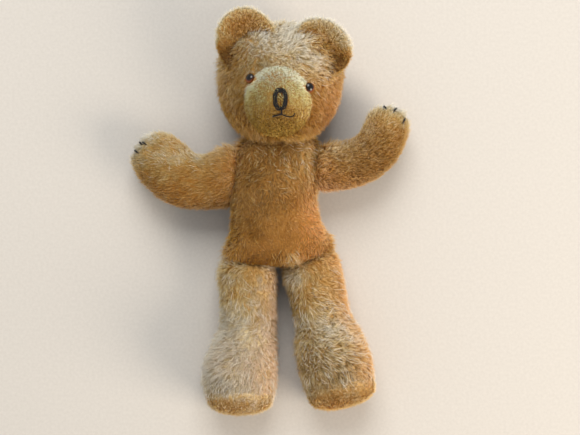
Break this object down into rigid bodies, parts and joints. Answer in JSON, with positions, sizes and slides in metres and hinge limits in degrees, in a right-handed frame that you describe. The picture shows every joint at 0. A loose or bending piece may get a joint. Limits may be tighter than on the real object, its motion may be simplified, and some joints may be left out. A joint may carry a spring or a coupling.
{
  "type": "teddy bear",
  "caption": "Worn golden plush teddy bear lying on its back, with sewn-on limbs, an inset muzzle, round ears, amber eyes and a wool nose.",
  "frame": {"origin": "middle of the torso's flat back, on the surface the bear lies on", "axes": "+Y towards the head, +Z out of the belly, +X to the bear's left"},
  "size_m": [0.2784, 0.4014, 0.1211],
  "materials": {
    "golden_plush": "worn, faded pile",
    "muzzle_plush": "short shorn pile, soiled",
    "wood_wool": "loose filling",
    "black_wool": "matt yarn",
    "amber_glass": "polished dome",
    "washer_steel": "plain"
  },
  "bodies": {
    "root": {"head_back_panel": "golden_plush", "head_face_panel": "golden_plush", "muzzle_panel": "muzzle_plush", "head_stuffing": "wood_wool", "torso_front_panel": "golden_plush", "torso_back_panel": "golden_plush", "torso_stuffing": "wood_wool", "right_arm_front_panel": "golden_plush", "right_arm_back_panel": "golden_plush", "right_arm_stuffing": "wood_wool", "left_arm_front_panel": "golden_plush", "left_arm_back_panel": "golden_plush", "left_arm_stuffing": "wood_wool", "right_leg_front_panel": "golden_plush", "right_leg_back_panel": "golden_plush", "right_leg_stuffing": "wood_wool", "right_sole": "muzzle_plush", "left_leg_front_panel": "golden_plush", "left_leg_back_panel": "golden_plush", "left_leg_stuffing": "wood_wool", "left_sole": "muzzle_plush", "right_ear_front_panel": "golden_plush", "right_ear_back_panel": "golden_plush", "left_ear_front_panel": "golden_plush", "left_ear_back_panel": "golden_plush", "right_eye": "amber_glass", "left_eye": "amber_glass", "right_eye_washer": "washer_steel", "left_eye_washer": "washer_steel", "nose_stitching": "black_wool", "mouth_stem": "black_wool", "mouth_right": "black_wool", "mouth_left": "black_wool", "right_claw_1": "black_wool", "right_claw_2": "black_wool", "right_claw_3": "black_wool", "left_claw_1": "black_wool", "left_claw_2": "black_wool", "left_claw_3": "black_wool"}
  },
  "joints": []
}
